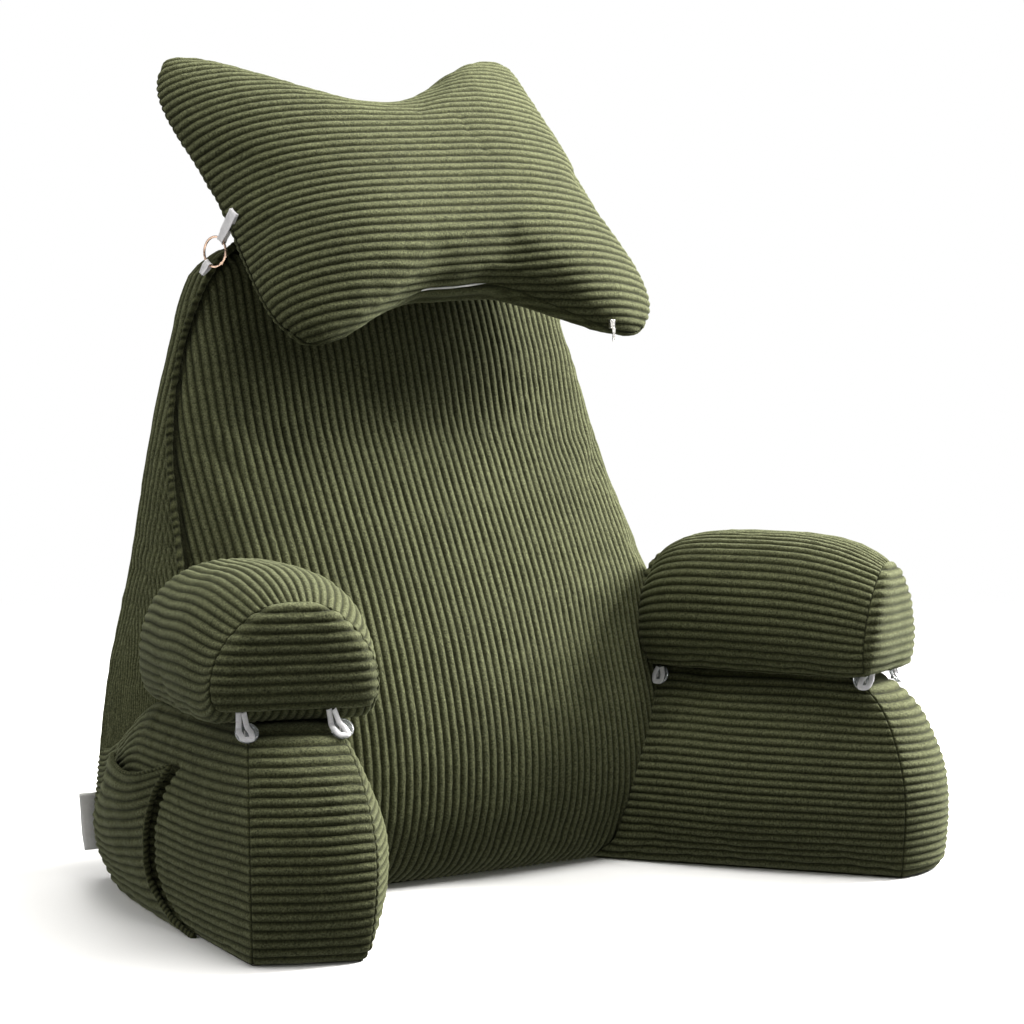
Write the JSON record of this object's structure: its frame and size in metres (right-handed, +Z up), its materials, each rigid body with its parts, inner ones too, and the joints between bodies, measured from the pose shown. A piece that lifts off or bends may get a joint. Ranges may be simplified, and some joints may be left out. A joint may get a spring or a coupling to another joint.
{
  "type": "reading pillow with arms",
  "caption": "Backrest cushion with splayed arms, a rolled bolster on each arm, a lobed head pillow tied at the top corners and a side pocket, in wide-rib corduroy.",
  "frame": {"origin": "middle of the backrest's flat underside, on the surface that the pillow stands on", "axes": "+Z up, -Y out of the backrest's front, +X to the right of someone who faces the front"},
  "size_m": [0.7646, 0.4618, 0.7631],
  "materials": {
    "corduroy": "wide-rib cotton corduroy, moss green",
    "seam_edge": "overlocked corduroy edge, moss green",
    "clear_button": "clear plastic",
    "ribbon": "white satin ribbon",
    "ring_metal": "polished rose gold plate",
    "pull_metal": "plated steel",
    "label_cloth": "white woven tape, blank"
  },
  "bodies": {
    "root": {"backrest": "corduroy", "arm_left": "corduroy", "arm_right": "corduroy", "bolster_left": "corduroy", "bolster_right": "corduroy", "head_pillow": "corduroy", "pocket": "corduroy", "seam_flange": "seam_edge", "button_left_outer": "clear_button", "button_left_inner": "clear_button", "button_left_rear": "clear_button", "button_right_outer": "clear_button", "button_right_inner": "clear_button", "button_right_rear": "clear_button", "loop_left_outer": "ribbon", "loop_left_inner": "ribbon", "loop_left_rear": "ribbon", "loop_right_outer": "ribbon", "loop_right_inner": "ribbon", "loop_right_rear": "ribbon", "ring_left": "ring_metal", "ring_right": "ring_metal", "upper_ribbon_left": "ribbon", "upper_ribbon_right": "ribbon", "lower_ribbon_left": "ribbon", "lower_ribbon_right": "ribbon", "zip_pull": "pull_metal", "care_label": "label_cloth"}
  },
  "joints": []
}
